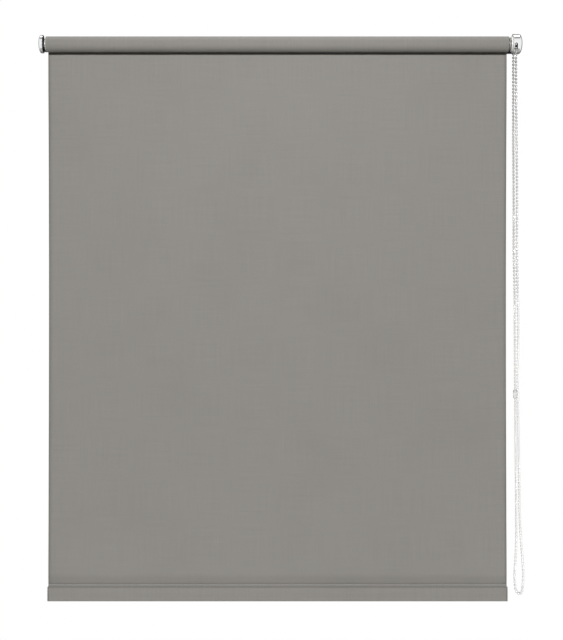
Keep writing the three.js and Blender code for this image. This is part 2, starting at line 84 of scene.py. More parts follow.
scene = bpy.context.scene
scene.view_settings.view_transform = "Standard"
room = bpy.data.worlds.new("bright_room")
scene.world = room
room.use_nodes = True
tree = room.node_tree
tree.nodes.clear()
towards = put(tree, "ShaderNodeTexCoord").outputs["Generated"]
towards = put(tree, "ShaderNodeSeparateXYZ", {0: towards})
ray = put(tree, "ShaderNodeLightPath").outputs
on_matt = between(tree, towards.outputs["Y"], -0.1, 0.3, 0.05, 0.6, smooth=True)
behind = between(tree, towards.outputs["Y"], 0.1, 0.5, 1.0, 0.2, smooth=True)
overhead = between(tree, towards.outputs["Z"], 0.72, 0.9, 1.0, 0.4, smooth=True)
on_shiny = sums(tree, "MULTIPLY", behind, overhead)
glow = put(tree, "ShaderNodeMix", {"Factor": ray["Is Diffuse Ray"], "A": on_shiny, "B": on_matt})
plain = sums(tree, "MAXIMUM", ray["Is Camera Ray"], ray["Is Transmission Ray"])
glow = put(tree, "ShaderNodeMix", {"Factor": plain, "A": glow.outputs["Result"], "B": 1.0})
air = put(tree, "ShaderNodeBackground", {"Color": (1, 1, 1, 1), "Strength": glow.outputs["Result"]})
put(tree, "ShaderNodeOutputWorld", {"Surface": air.outputs["Background"]})


def hang_lamp(name, kind, energy, place, tilt, **shape):
    """A lamp that no camera sees. It shines straight down, tilted towards the wall in degrees."""
    lamp = bpy.data.lights.new(name, kind)
    lamp.energy = energy
    for setting, value in shape.items():
        setattr(lamp, setting, value)
    made = bpy.data.objects.new(name, lamp)
    made.location = place
    made.rotation_euler = (math.radians(tilt), 0, 0)
    made.visible_camera = False
    scene.collection.objects.link(made)


hang_lamp("window_light", "SUN", 2.5, (0, -3, 0.5), 82, angle=math.radians(5))
hang_lamp("front_softbox", "AREA", 1.2, (0, -0.8, 0.05), 90, shape="RECTANGLE", size=0.4, size_y=0.1)
hang_lamp("top_softbox", "AREA", 4.6, (0, 0.12, 0.7), 0, shape="RECTANGLE", size=1.3, size_y=0.24)

floor_mesh = bmesh.new()
bmesh.ops.create_circle(
    floor_mesh, cap_ends=True, segments=128, radius=1.2, matrix=Matrix.Translation((0, 0, -1.6))
)
floor_data = bpy.data.meshes.new("floor")
floor_mesh.to_mesh(floor_data)
floor_mesh.free()
floor = bpy.data.objects.new("floor", floor_data)
scene.collection.objects.link(floor)
paint = bpy.data.materials.new("floor_paint")
paint.use_nodes = True
tree = paint.node_tree
shader = tree.nodes["Principled BSDF"]
spot = put(tree, "ShaderNodeTexCoord").outputs["Object"]
cloud = put(tree, "ShaderNodeTexNoise", {"Vector": spot, "Scale": 3.0, "Detail": 6.0}).outputs["Fac"]
tree.links.new(between(tree, cloud, 0.3, 0.7, 0.5, 0.62), shader.inputs["Roughness"])
shader.inputs["Base Color"].default_value = (0.86, 0.86, 0.85, 1)
floor_data.materials.append(paint)

eye = bpy.data.cameras.new("camera")
eye.lens = 64.9
camera = bpy.data.objects.new("camera", eye)
camera.location = (0.007, -2.03, -0.478)
camera.rotation_euler = (math.radians(90), 0, 0)
scene.collection.objects.link(camera)
scene.camera = camera


# ---- The control chain ----
# An endless chain of pressed steel balls on a wire, nickel plated, 4.5 mm across and 6 mm apart. It is
# laid over the wheel inside the right-hand cover, and its free loop hangs beside the cloth.

ball_across = 4.5 * mm
ball_pitch = 6 * mm
wire_across = 1.3 * mm
wheel_pockets = 12
tube_low, tube_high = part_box("roller_tube")
axis_y = (tube_low[1] + tube_high[1]) / 2
half_width = tube_high[0]
chain_x = half_width + 11.1 * mm
wheel_pitch_radius = ball_pitch / (2 * math.sin(math.pi / wheel_pockets))

# Out from the wheel's plane, towards the wall from the roller's axis, and up from it
chain_route = [
    (0, -11.6, -9.6), (0, -11.6, -28), (0.2, -11.6, -90), (1.2, -11.5, -183), (1.9, -11.4, -276),
    (1.6, -11.2, -359), (2.6, -11, -411), (3.8, -10.9, -460), (3.9, -10.8, -514), (3.3, -10.6, -597),
    (4.6, -10.5, -680), (5.9, -10.4, -762), (7, -10.2, -822), (9.2, -10, -862), (11.8, -9.9, -894),
    (12.9, -9.8, -918), (12.4, -9.7, -931), (11.5, -9.2, -941.7), (10.9, -7.9, -946.8),
    (9.3, -4.5, -950.5), (7.2, 0.1, -951.9), (5.1, 4.7, -950.5), (3.5, 8.1, -946.8),
    (2.9, 9.4, -941.7), (2.2, 9.9, -931), (2.1, 10, -918), (3.6, 10.3, -894), (5, 10.5, -862),
    (5, 10.7, -822),
    (4.6, 10.9, -762), (3.8, 11, -680), (3.4, 11, -620), (3.2, 11, -594), (2.7, 11.1, -514),
    (2.5, 11.2, -452), (2, 11.3, -411), (0.8, 11.4, -359), (0.8, 11.5, -276), (0.2, 11.6, -183),
    (0, 11.6, -90), (0, 11.6, -28), (0, 11.6, -9.6),
]


def smooth_line(points, steps=24):
    """Close points along one smooth line through the given ones, which may be unevenly spaced."""
    points = [2 * points[0] - points[1], *points, 2 * points[-1] - points[-2]]
    line = [points[1]]
    for a, b, c, d in zip(points, points[1:], points[2:], points[3:]):
        ab, bc, cd = ((q - p).length ** 0.5 for p, q in ((a, b), (b, c), (c, d)))
        leaving = ((b - a) / ab - (c - a) / (ab + bc) + (c - b) / bc) * bc
        arriving = ((c - b) / bc - (d - b) / (bc + cd) + (d - c) / cd) * bc
        line += geometry.interpolate_bezier(b, b + leaving / 3, c - arriving / 3, c, steps)[1:]
    return line


def line_length(line):
    return sum((b - a).length for a, b in zip(line, line[1:]))


def along(line, distances):
    """The points at these rising distances along a line."""
    found, passed, step = [], 0.0, 0
    for distance in distances:
        while step < len(line) - 2 and passed + (line[step + 1] - line[step]).length < distance:
            passed += (line[step + 1] - line[step]).length
            step += 1
        length = (line[step + 1] - line[step]).length
        found.append(line[step].lerp(line[step + 1], (distance - passed) / length))
    return found


def add_balls(mesh, centres):
    """Balls at the centres, and the wire between each two."""
    for here, after in zip(centres, centres[1:]):
        turn = (after - here).to_track_quat("Z", "X").to_matrix().to_4x4()
        bmesh.ops.create_cone(
            mesh, cap_ends=False, segments=6, radius1=wire_across / 2, radius2=wire_across / 2,
            depth=(after - here).length - 0.8 * ball_across,
            matrix=Matrix.Translation((here + after) / 2) @ turn,
        )
    ends = [*centres[1:], 2 * centres[-1] - centres[-2]]
    for here, after in zip(centres, ends):
        turn = (after - here).to_track_quat("Z", "X").to_matrix().to_4x4()
        bmesh.ops.create_uvsphere(
            mesh, u_segments=10, v_segments=6, radius=ball_across / 2,
            matrix=Matrix.Translation(here) @ turn,
        )


def finished(mesh, name, body, material, stands_for=(), eased=0.0, crease=35):
    """Makes a bmesh a piece of the blind that moves with a body. Its edges are rounded if eased."""
    data = bpy.data.meshes.new(name)
    mesh.to_mesh(data)
    mesh.free()
    data.shade_smooth()
    data.materials.append(material)
    piece = bpy.data.objects.new(name, data)
    scene.collection.objects.link(piece)
    if eased:
        rounding = piece.modifiers.new("eased edges", "BEVEL")
        rounding.width = eased
        rounding.segments = 2
        rounding.limit_method = "ANGLE"
        rounding.angle_limit = math.radians(crease)
        rounding.harden_normals = True
    else:
        data.set_sharp_from_angle(angle=math.radians(crease))
    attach(piece, body)
    if stands_for:
        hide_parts(*stands_for)
    return piece


def new_group(name, numbers, outputs):
    """An empty shader node group with a vector input, number inputs with defaults, and outputs."""
    group = bpy.data.node_groups.new(name, "ShaderNodeTree")
    group.interface.new_socket("Vector", in_out="INPUT", socket_type="NodeSocketVector")
    for label, value in numbers.items():
        socket = group.interface.new_socket(label, in_out="INPUT", socket_type="NodeSocketFloat")
        socket.default_value = value
    for label in outputs:
        group.interface.new_socket(label, in_out="OUTPUT", socket_type="NodeSocketFloat")
    return group, put(group, "NodeGroupInput").outputs, put(group, "NodeGroupOutput").inputs


# Handling marks on metal and plastic: fine grain, fingertip smears and hairline scratches
handled, given, wanted = new_group(
    "handled_surface", {"Grain": 900.0, "Smears": 40.0, "Rub": 0.5}, ("Roughness", "Shade", "Height")
)
spot = given["Vector"]
grain = put(handled, "ShaderNodeTexNoise", {"Vector": spot, "Scale": given["Grain"], "Detail": 4.0})
smear = put(handled, "ShaderNodeTexNoise", {"Vector": spot, "Scale": given["Smears"], "Detail": 5.0})
stretched = put(handled, "ShaderNodeMapping", {"Vector": given["Vector"], "Scale": (60, 900, 400)})
scratches = {"Vector": stretched.outputs[0], "Scale": 1.0, "Detail": 2.0}
hairline = put(handled, "ShaderNodeTexNoise", scratches)
hairline = between(handled, hairline.outputs["Fac"], 0.62, 0.72, 0, 1)
marks = sums(handled, "MULTIPLY", hairline, given["Rub"])
smeared = between(handled, smear.outputs["Fac"], 0.35, 0.7, 0, 1, smooth=True)
dulled = sums(handled, "MULTIPLY_ADD", marks, 0.6, sums(handled, "MULTIPLY", smeared, 0.6))
handled.links.new(dulled, wanted["Roughness"])
clean = sums(handled, "SUBTRACT", 1.0, sums(handled, "MULTIPLY", smeared, given["Rub"]))
handled.links.new(clean, wanted["Shade"])
raised = sums(handled, "SUBTRACT", grain.outputs["Fac"], sums(handled, "MULTIPLY", marks, 0.4))
handled.links.new(raised, wanted["Height"])


def hard_finish(name, color, rough, metal=0.0, grain=900.0, smears=40.0, rub=0.5, relief=0.02, spread=0.12):
    """A metal or plastic that carries the marks of handling. Returns it with its shader."""
    made = bpy.data.materials.new(name)
    made.use_nodes = True
    tree = made.node_tree
    shader = tree.nodes["Principled BSDF"]
    shader.inputs["Metallic"].default_value = metal
    spot = put(tree, "ShaderNodeTexCoord").outputs["Object"]
    wear = {"Vector": spot, "Grain": grain, "Smears": smears, "Rub": rub}
    marks = put(tree, "ShaderNodeGroup", wear, node_tree=handled).outputs
    roughness = between(tree, marks["Roughness"], 0, 1, rough, rough + spread)
    tree.links.new(roughness, shader.inputs["Roughness"])
    dull = tuple(0.86 * part for part in color)
    shades = {"Factor": marks["Shade"], "A": (*dull, 1), "B": (*color, 1)}
    tint = put(tree, "ShaderNodeMix", shades, data_type="RGBA")
    tree.links.new(tint.outputs["Result"], shader.inputs["Base Color"])
    height = {"Height": marks["Height"], "Strength": relief, "Distance": 0.1 * mm}
    bump = put(tree, "ShaderNodeBump", height)
    tree.links.new(bump.outputs["Normal"], shader.inputs["Normal"])
    return made, shader


# The chain's colour is darkened towards the top: painted shade, so the lower part looks more brightly lit
# than the upper part
nickel, shader = hard_finish("nickel_plate", (0.97, 0.965, 0.955), 0.16, metal=1.0, smears=120.0, rub=0.6)
tree = nickel.node_tree
plated = shader.inputs["Base Color"].links[0].from_socket
up = put(tree, "ShaderNodeSeparateXYZ", {0: put(tree, "ShaderNodeTexCoord").outputs["Object"]}).outputs["Z"]
bright = between(tree, up, -0.6, 0.0, 1.0, 0.42)
chain_painted_shade = put(tree, "ShaderNodeMix", {"Factor": bright, "A": (0, 0, 0, 1), "B": plated}, data_type="RGBA")
tree.links.new(chain_painted_shade.outputs["Result"], shader.inputs["Base Color"])

hanging = [Vector((chain_x + out * mm, axis_y + back * mm, up * mm)) for out, back, up in chain_route]
chain_line = smooth_line(hanging)
chain_length = line_length(chain_line)
first_ball = hanging[0].z + 2.5 * ball_pitch
count = round((chain_length - 2 * first_ball) / ball_pitch)
pitch = (chain_length - 2 * first_ball) / count
mesh = bmesh.new()
add_balls(mesh, along(chain_line, [first_ball + i * pitch for i in range(count + 1)]))
chain = finished(mesh, "control_chain", "root", nickel, ["bead_chain"])

# The part of it inside the cover, down to the first ball of each free run
over = [(-wheel_pitch_radius, up * ball_pitch) for up in (-1.5, -0.5)]
for pocket in range(6):
    turned = math.radians(15 + 30 * pocket)
    over.append((-wheel_pitch_radius * math.cos(turned), wheel_pitch_radius * math.sin(turned)))
over += [(wheel_pitch_radius, up * ball_pitch) for up in (-0.5, -1.5)]
mesh = bmesh.new()
add_balls(mesh, [Vector((chain_x, axis_y + back, up)) for back, up in over])
finished(mesh, "chain_on_wheel", "root", nickel)


# ---- Chain connector ----
# The chain's two ends are pushed into a short clear sleeve, moulded in polycarbonate with a slit down
# one side that each ball snaps through. It rides on the chain's rear run.

sleeve_low, sleeve_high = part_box("chain_connector")
sleeve_middle = (Vector(sleeve_low) + Vector(sleeve_high)) / 2
sleeve_half = (sleeve_high[2] - sleeve_low[2]) / 2
sleeve_radius = (sleeve_high[1] - sleeve_low[1]) / 2
sleeve_bore = 2.6 * mm
sleeve_slit = 36  # degrees
mesh = bmesh.new()
lip = 0.5 * mm
wall = [
    (sleeve_bore, -sleeve_half + lip), (sleeve_bore + 0.3 * mm, -sleeve_half),
    (sleeve_radius - 0.3 * mm, -sleeve_half), (sleeve_radius, -sleeve_half + lip),
    (sleeve_radius, sleeve_half - lip), (sleeve_radius - 0.3 * mm, sleeve_half),
    (sleeve_bore + 0.3 * mm, sleeve_half), (sleeve_bore, sleeve_half - lip),
]
row = [mesh.verts.new((radius, 0, up)) for radius, up in wall]
for a, b in zip(row, [*row[1:], row[0]]):
    mesh.edges.new((a, b))
bmesh.ops.rotate(mesh, verts=row, matrix=Matrix.Rotation(math.radians(sleeve_slit / 2), 3, "Z"))
bmesh.ops.spin(
    mesh, geom=mesh.verts[:] + mesh.edges[:], cent=(0, 0, 0), axis=(0, 0, 1),
    angle=math.radians(360 - sleeve_slit), steps=36, use_merge=False,
)
bmesh.ops.holes_fill(mesh, edges=[e for e in mesh.edges if e.is_boundary])
bmesh.ops.recalc_face_normals(mesh, faces=mesh.faces)
bmesh.ops.rotate(mesh, verts=mesh.verts, matrix=Matrix.Rotation(math.radians(60), 3, "Z"))
bmesh.ops.translate(mesh, verts=mesh.verts, vec=sleeve_middle)
clear, shader = hard_finish("clear_polycarbonate", (0.99, 0.99, 0.985), 0.06, rub=0.2, smears=150.0)
shader.inputs["Transmission Weight"].default_value = 1.0
shader.inputs["IOR"].default_value = 1.5
connector = finished(mesh, "connector_sleeve", "root", clear, ["chain_connector"])


# ---- Roller tube and its tape ----
# An aluminium tube, extruded with a flat along its top and a key rib inside. A strip of double-sided
# tape lies in the flat, and the cloth's top edge is pressed onto it.

def dress(nodes, material):
    """Gives CAD pieces their finish."""
    for node in nodes:
        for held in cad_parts[node].material_slots:
            held.material = material


aluminium, shader = hard_finish("extruded_aluminium", (0.78, 0.785, 0.79), 0.3, metal=1.0, rub=0.7)
tree = aluminium.node_tree
spot = put(tree, "ShaderNodeTexCoord").outputs["Object"]
drawn = put(tree, "ShaderNodeMapping", {"Vector": spot, "Scale": (4, 2500, 2500)})
lines = put(tree, "ShaderNodeTexNoise", {"Vector": drawn.outputs[0], "Scale": 1.0, "Detail": 3.0})
height = {"Height": lines.outputs["Fac"], "Strength": 0.12, "Distance": 0.05 * mm}
bump = put(tree, "ShaderNodeBump", height)
tree.links.new(bump.outputs["Normal"], shader.inputs["Normal"])
dress(["roller_tube", "bottom_bar"], aluminium)

tape, shader = hard_finish("double_sided_tape", (0.72, 0.67, 0.55), 0.45, grain=500.0, relief=0.1)
dress(["adhesive_strip"], tape)


# ---- Cloth on the roller ----
# The last turns of the cloth, still on the tube with the blind down. It is a coated polyester plain
# weave, cut to width with a hot blade, and the layers show as a spiral at both ends.

threads = 0.45 * mm
weave, given, wanted = new_group("plain_weave", {"Thread": threads}, ("Height", "Tone", "Slub"))
place = put(weave, "ShaderNodeSeparateXYZ", {0: given["Vector"]})
across = sums(weave, "DIVIDE", place.outputs["X"], given["Thread"])
down = sums(weave, "DIVIDE", place.outputs["Y"], given["Thread"])
weft = sums(weave, "ABSOLUTE", sums(weave, "SINE", sums(weave, "MULTIPLY", down, math.pi)))
warp = sums(weave, "ABSOLUTE", sums(weave, "SINE", sums(weave, "MULTIPLY", across, math.pi)))
cell = sums(weave, "ADD", sums(weave, "FLOOR", across), sums(weave, "FLOOR", down))
over_under = sums(weave, "GREATER_THAN", sums(weave, "MODULO", sums(weave, "ABSOLUTE", cell), 2.0), 0.5)
top = put(weave, "ShaderNodeMix", {"Factor": over_under, "A": weft, "B": warp}).outputs["Result"]
weave.links.new(top, wanted["Height"])
thread_run = put(weave, "ShaderNodeMapping", {"Vector": given["Vector"], "Scale": (12, 1400, 1)})
thread_fall = put(weave, "ShaderNodeMapping", {"Vector": given["Vector"], "Scale": (1400, 12, 1)})
running = {"Vector": thread_run.outputs[0], "Scale": 1.0, "Detail": 3.0}
weft_slub = put(weave, "ShaderNodeTexNoise", running)
falling = {"Vector": thread_fall.outputs[0], "Scale": 1.0, "Detail": 3.0}
warp_slub = put(weave, "ShaderNodeTexNoise", falling)
slubs = {"Factor": over_under, "A": weft_slub.outputs["Fac"], "B": warp_slub.outputs["Fac"]}
slub = put(weave, "ShaderNodeMix", slubs).outputs["Result"]
weave.links.new(slub, wanted["Slub"])
blotches = {"Vector": given["Vector"], "Scale": 7.0, "Detail": 5.0, "Roughness": 0.55}
mottle = put(weave, "ShaderNodeTexNoise", blotches)
weave.links.new(mottle.outputs["Fac"], wanted["Tone"])

cloth = bpy.data.materials.new("warm_grey_blind_cloth")
cloth.use_nodes = True
tree = cloth.node_tree
shader = tree.nodes["Principled BSDF"]
shader.inputs["Sheen Weight"].default_value = 0.08
shader.inputs["Sheen Roughness"].default_value = 0.5
shader.inputs["Specular IOR Level"].default_value = 0.25
unrolled = put(tree, "ShaderNodeUVMap", uv_map="cloth").outputs["UV"]
hem_weld = -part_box("fabric_sheet")[0][2]
woven = put(tree, "ShaderNodeGroup", node_tree=weave)
tree.links.new(unrolled, woven.inputs["Vector"])
woven.inputs["Thread"].default_value = threads
yarn = between(tree, woven.outputs["Slub"], 0.3, 0.7, 0.0, 1.0)
shade = put(
    tree, "ShaderNodeMix", {"Factor": yarn, "A": (0.262, 0.251, 0.232, 1), "B": (0.318, 0.305, 0.282, 1)},
    data_type="RGBA",
).outputs["Result"]
# Painted shade: the hollows between the threads are darkened in the colour
painted_hollow_shade = between(tree, woven.outputs["Height"], 0.0, 0.5, 0.72, 1.0, smooth=True)
cloudy = between(tree, woven.outputs["Tone"], 0.3, 0.7, 0.97, 1.03)
inward = sums(tree, "ABSOLUTE", put(tree, "ShaderNodeSeparateXYZ", {0: unrolled}).outputs["X"])
cut_edge = between(tree, inward, half_width - 2.2 * mm, half_width - 0.6 * mm, 1.0, 0.86, smooth=True)
depth = sums(tree, "MULTIPLY", sums(tree, "MULTIPLY", painted_hollow_shade, cloudy), cut_edge)
fallen = sums(tree, "MULTIPLY", put(tree, "ShaderNodeSeparateXYZ", {0: unrolled}).outputs["Y"], -1.0)
# Darker in a band just above the seam, and along two faint lines across the pocket
darker_above_seam = between(tree, fallen, hem_weld - 22 * mm, hem_weld - 9 * mm, 1.0, 0.88, smooth=True)
single = between(tree, fallen, hem_weld + 3 * mm, hem_weld + 4.5 * mm, 0.0, 1.0, smooth=True)
weld = put(tree, "ShaderNodeMix", {"Factor": single, "A": darker_above_seam, "B": 1.0}).outputs["Result"]
depth = sums(tree, "MULTIPLY", depth, weld)
for below in (16.6 * mm, 20.6 * mm):
    off = sums(tree, "ABSOLUTE", sums(tree, "SUBTRACT", fallen, hem_weld + below))
    depth = sums(tree, "MULTIPLY", depth, between(tree, off, 0.2 * mm, 0.9 * mm, 0.94, 1.0, smooth=True))
shade = put(
    tree, "ShaderNodeMix", {"Factor": depth, "A": (0, 0, 0, 1), "B": shade}, data_type="RGBA"
).outputs["Result"]
tree.links.new(shade, shader.inputs["Base Color"])
tree.links.new(between(tree, woven.outputs["Slub"], 0.3, 0.7, 0.78, 0.9), shader.inputs["Roughness"])
relief = {"Height": woven.outputs["Height"], "Strength": 0.5, "Distance": 0.08 * mm}
bump = put(tree, "ShaderNodeBump", relief)
tree.links.new(bump.outputs["Normal"], shader.inputs["Normal"])


def cloth_strip(outline, long_steps, travelled=0.0):
    """A strip of cloth as wide as the blind, from its outline of (Y, Z) points down its length. The
    cloth above it is as long as what is already travelled."""
    mesh = bmesh.new()
    mesh.loops.layers.uv.new("cloth")
    down = mesh.verts.layers.float.new("down")
    row = []
    for step, (y, z) in enumerate(outline):
        if step:
            travelled += (Vector(outline[step]) - Vector(outline[step - 1])).length
        row.append(mesh.verts.new((-half_width, y, z)))
        row[-1][down] = travelled
    edges = [mesh.edges.new(pair) for pair in zip(row, row[1:])]
    border = 1 * mm  # so that only the cut edges are rounded by the shading
    inner = 2 * (half_width - border) / long_steps
    for width in (border, *[inner] * long_steps, border):
        grown = bmesh.ops.extrude_edge_only(mesh, edges=edges)["geom"]
        edges = [part for part in grown if isinstance(part, bmesh.types.BMEdge)]
        edges = [e for e in edges if e.verts[0].co.x == e.verts[1].co.x]
        moved = [part for part in grown if isinstance(part, bmesh.types.BMVert)]
        bmesh.ops.translate(mesh, verts=moved, vec=(width, 0, 0))
    return mesh


def lay_uv(mesh):
    """Unrolls cloth flat: across its width from the middle, and down its length."""
    uv = mesh.loops.layers.uv["cloth"]
    down = mesh.verts.layers.float["down"]
    for face in mesh.faces:
        for corner in face.loops:
            corner[uv].uv = (corner.vert.co.x, -corner.vert[down])


def give_thickness(piece, thickness):
    wall = piece.modifiers.new("cloth thickness", "SOLIDIFY")
    wall.thickness = thickness
    wall.offset = 0
    return piece


roll_low, roll_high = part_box("fabric_roll")
roll_radius = (roll_high[2] - roll_low[2]) / 2
layer = 0.33 * mm
turns = 1.9
per_turn = 96
last = round(turns * per_turn)
spiral = []
for step in range(last + 1):
    radius = roll_radius - layer / 2 - (last - step) / per_turn * (layer + 0.02 * mm)
    angle = math.radians(-90) + 2 * math.pi * (step - last) / per_turn
    spiral.append((axis_y - radius * math.sin(angle), radius * math.cos(angle)))
mesh = cloth_strip(spiral, 8)
lay_uv(mesh)
bmesh.ops.recalc_face_normals(mesh, faces=mesh.faces)
roll = finished(mesh, "cloth_roll", "roller", cloth, ["fabric_roll"], crease=60)
give_thickness(roll, layer)


# ---- Hanging cloth ----
# The sheet comes off the back of the roller and hangs flat to the hem, 0.4 mm thick. Its cut edges
# curl a millimetre towards the wall, and the welded seam pulls it in just above the bar.

sheet_low, sheet_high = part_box("fabric_sheet")
sheet_y = (sheet_low[1] + sheet_high[1]) / 2
sheet_top = sheet_high[2] + 2 * mm
sheet_bottom = sheet_low[2]
mesh = bmesh.new()
mesh.loops.layers.uv.new("cloth")
down = mesh.verts.layers.float.new("down")
middle = Vector((0, sheet_y, (sheet_top + sheet_bottom) / 2))
size = Matrix.Diagonal((half_width, (sheet_top - sheet_bottom) / 2, 1, 1))
upright = Matrix.Rotation(math.radians(90), 4, "X")
bmesh.ops.create_grid(
    mesh, x_segments=100, y_segments=150, size=1, matrix=Matrix.Translation(middle) @ upright @ size
)


def eased_step(value, low, high):
    share = min(max((value - low) / (high - low), 0), 1)
    return share * share * (3 - 2 * share)


for vert in mesh.verts:
    x, _, z = vert.co
    vert[down] = -z
    free = eased_step(-z, 0.02, 0.2) * eased_step(z - sheet_bottom, 0.0, 0.12)
    curl = 1.6 * mm * math.exp(-(half_width - abs(x)) / 0.018)
    wave = 0.5 * mm * math.sin(7 * x + 1.3) * math.sin(5.1 * z + 2.2 * x)
    tuck = 0.55 * mm * math.exp(-((z - sheet_bottom - 0.001) / 0.008) ** 2)
    vert.co.y += free * (curl + wave) + tuck
    if z > 0:
        around = roll_radius + 0.32 * mm - 0.1 * z
        vert.co.y = axis_y + math.sqrt(around * around - z * z)
    narrowing = 0.9 * mm * eased_step(-z, 0.0, 0.45) * (1 - eased_step(-z, 0.5, 0.94))
    vert.co.x -= math.copysign(narrowing, x) * abs(x) / half_width
lay_uv(mesh)
bmesh.ops.recalc_face_normals(mesh, faces=mesh.faces)
sheet = finished(mesh, "cloth_sheet", "root", cloth, ["fabric_sheet"], crease=80)
give_thickness(sheet, 0.36 * mm)
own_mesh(sheet)


# ---- Hem ----
# The cloth's end is folded round the bottom bar and welded to itself just above it. The cloth is a little
# darker in a band just above the seam, and two faint darker lines run across the pocket.

pocket_low, pocket_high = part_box("hem_pocket")
pocket_thick = pocket_high[1] - pocket_low[1]
cloth_thick = 0.36 * mm
round_middle = pocket_low[2] + pocket_thick / 2
oval_top = sheet_bottom - 3.3 * mm
upper_middle = oval_top - pocket_thick / 2
turn_radius = pocket_thick / 2 - cloth_thick / 2
tab = cloth_thick / 2 + 0.01 * mm
outline = [(sheet_y - tab, pocket_high[2]), (sheet_y - tab, oval_top + 0.4 * mm)]
for degrees in range(12, 91, 6):
    angle = math.radians(degrees)
    outline.append((sheet_y - turn_radius * math.sin(angle), upper_middle + turn_radius * math.cos(angle)))
for degrees in range(0, 181, 6):
    angle = math.radians(degrees)
    outline.append((sheet_y - turn_radius * math.cos(angle), round_middle - turn_radius * math.sin(angle)))
for degrees in range(90, 11, -6):
    angle = math.radians(degrees)
    outline.append((sheet_y + turn_radius * math.sin(angle), upper_middle + turn_radius * math.cos(angle)))
outline += [(sheet_y + tab, oval_top + 0.4 * mm), (sheet_y + tab, pocket_high[2])]
mesh = cloth_strip(outline, 40, travelled=hem_weld)
lay_uv(mesh)
bmesh.ops.recalc_face_normals(mesh, faces=mesh.faces)
hem = finished(mesh, "cloth_hem", "hem", cloth, ["hem_pocket"], crease=80)
give_thickness(hem, cloth_thick)


# ---- Bottom bar caps ----
# The aluminium bar lies loose in the hem. A grey nylon cap plugs each end of it and covers the cut
# ends of the bar and of the cloth round it.

def cad_copy(node):
    """A CAD piece's shape, its triangles merged into whole faces."""
    mesh = bmesh.new()
    mesh.from_mesh(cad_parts[node].data)
    bmesh.ops.remove_doubles(mesh, verts=mesh.verts, dist=1e-6)
    bmesh.ops.dissolve_limit(mesh, angle_limit=math.radians(1), verts=mesh.verts, edges=mesh.edges)
    return mesh


nylon, shader = hard_finish("grey_nylon", (0.235, 0.225, 0.2), 0.42, grain=1600.0, relief=0.1, rub=0.3)
for side in ("left", "right"):
    node = "bar_cap_" + side
    finished(cad_copy(node), "hem_end_" + side, "hem", nylon, [node], eased=0.5 * mm)


# ---- Control bracket ----
# A pressed steel angle, powder coated black. Two screws hold its leg to the wall, behind the cloth, and
# its round head carries the fixed core of the clutch.

powder, shader = hard_finish(
    "black_powder_coat", (0.018, 0.018, 0.02), 0.38, grain=1300.0, relief=0.35, rub=0.3
)
finished(
    cad_copy("control_bracket"), "bracket_control_end", "root", powder,
    ["control_bracket"], eased=0.25 * mm,
)


# ---- Clutch: core, drive hub, wrap springs and chain wheel ----
# The core is fixed in the bracket. Two wrap springs grip it until the chain wheel's sleeve opens them
# and turns the hub, which is pushed into the tube. All but the springs and clip are moulded, and a
# polished steel ring covers the hub's neck where it shows.

white, shader = hard_finish("white_acetal", (0.80, 0.80, 0.775), 0.3, grain=1500.0, relief=0.06, rub=0.2)
black, shader = hard_finish(
    "black_acetal", (0.014, 0.014, 0.015), 0.16, grain=1200.0, relief=0.03, rub=0.3
)
spring_wire, shader = hard_finish("spring_steel", (0.5, 0.5, 0.51), 0.24, metal=1.0, rub=0.8)
dress(["clutch_core"], white)
dress(["hub_retainer", "wrap_spring_inner", "wrap_spring_outer"], spring_wire)
polished, shader = hard_finish("polished_steel", (0.8, 0.8, 0.8), 0.1, metal=1.0, rub=0.3)


def ring_round_neck(piece, low, high, inside, outside):
    """Gives a turned piece a polished ring between two distances along X and two radii."""
    piece.data.materials.append(polished)
    for face in piece.data.polygons:
        reach = math.hypot(face.center.y - axis_y, face.center.z)
        if low < face.center.x < high and inside < reach < outside:
            face.material_index = 1


hub = finished(
    cad_copy("drive_hub"), "hub_of_roller", "roller", black, ["drive_hub"],
    eased=0.2 * mm,
)
ring_round_neck(hub, half_width + 1.4 * mm, half_width + 3.6 * mm, inside=8.9 * mm, outside=9.4 * mm)
finished(
    cad_copy("chain_wheel"), "wheel_of_chain", "chain_wheel", black, ["chain_wheel"]
)


# ---- Chain guard ----
# A white moulded drum round the chain wheel. It keeps the balls in their pockets and lets both runs of
# the chain out through a slot at the front and at the back. Its flange faces the roller.

finished(
    cad_copy("chain_guard"), "guard_of_chain", "root", white, ["chain_guard"],
    eased=0.12 * mm,
)


# ---- Control cover ----
# A domed plastic cap, chrome plated outside, pressed over the guard and bracket. The chain hangs from
# an arched window in its front, and slots at the back clear the chain and the bracket.

# Near-black for the inside of both covers: painted shade for the shadow inside the caps
painted_shade_inside, shader = hard_finish("painted_shade_inside_black", (0.012, 0.012, 0.012), 0.5, rub=0.1)
chrome, shader = hard_finish(
    "chrome_plate", (0.86, 0.865, 0.87), 0.05, metal=1.0, rub=0.35, spread=0.1, relief=0.006
)
cover_wall = 1.3 * mm
play = 0.3 * mm  # between pieces that slide or turn on each other


fullness = 2.5  # the exponent of the covers' outline: 2 for an ellipse, more for a squarer dome


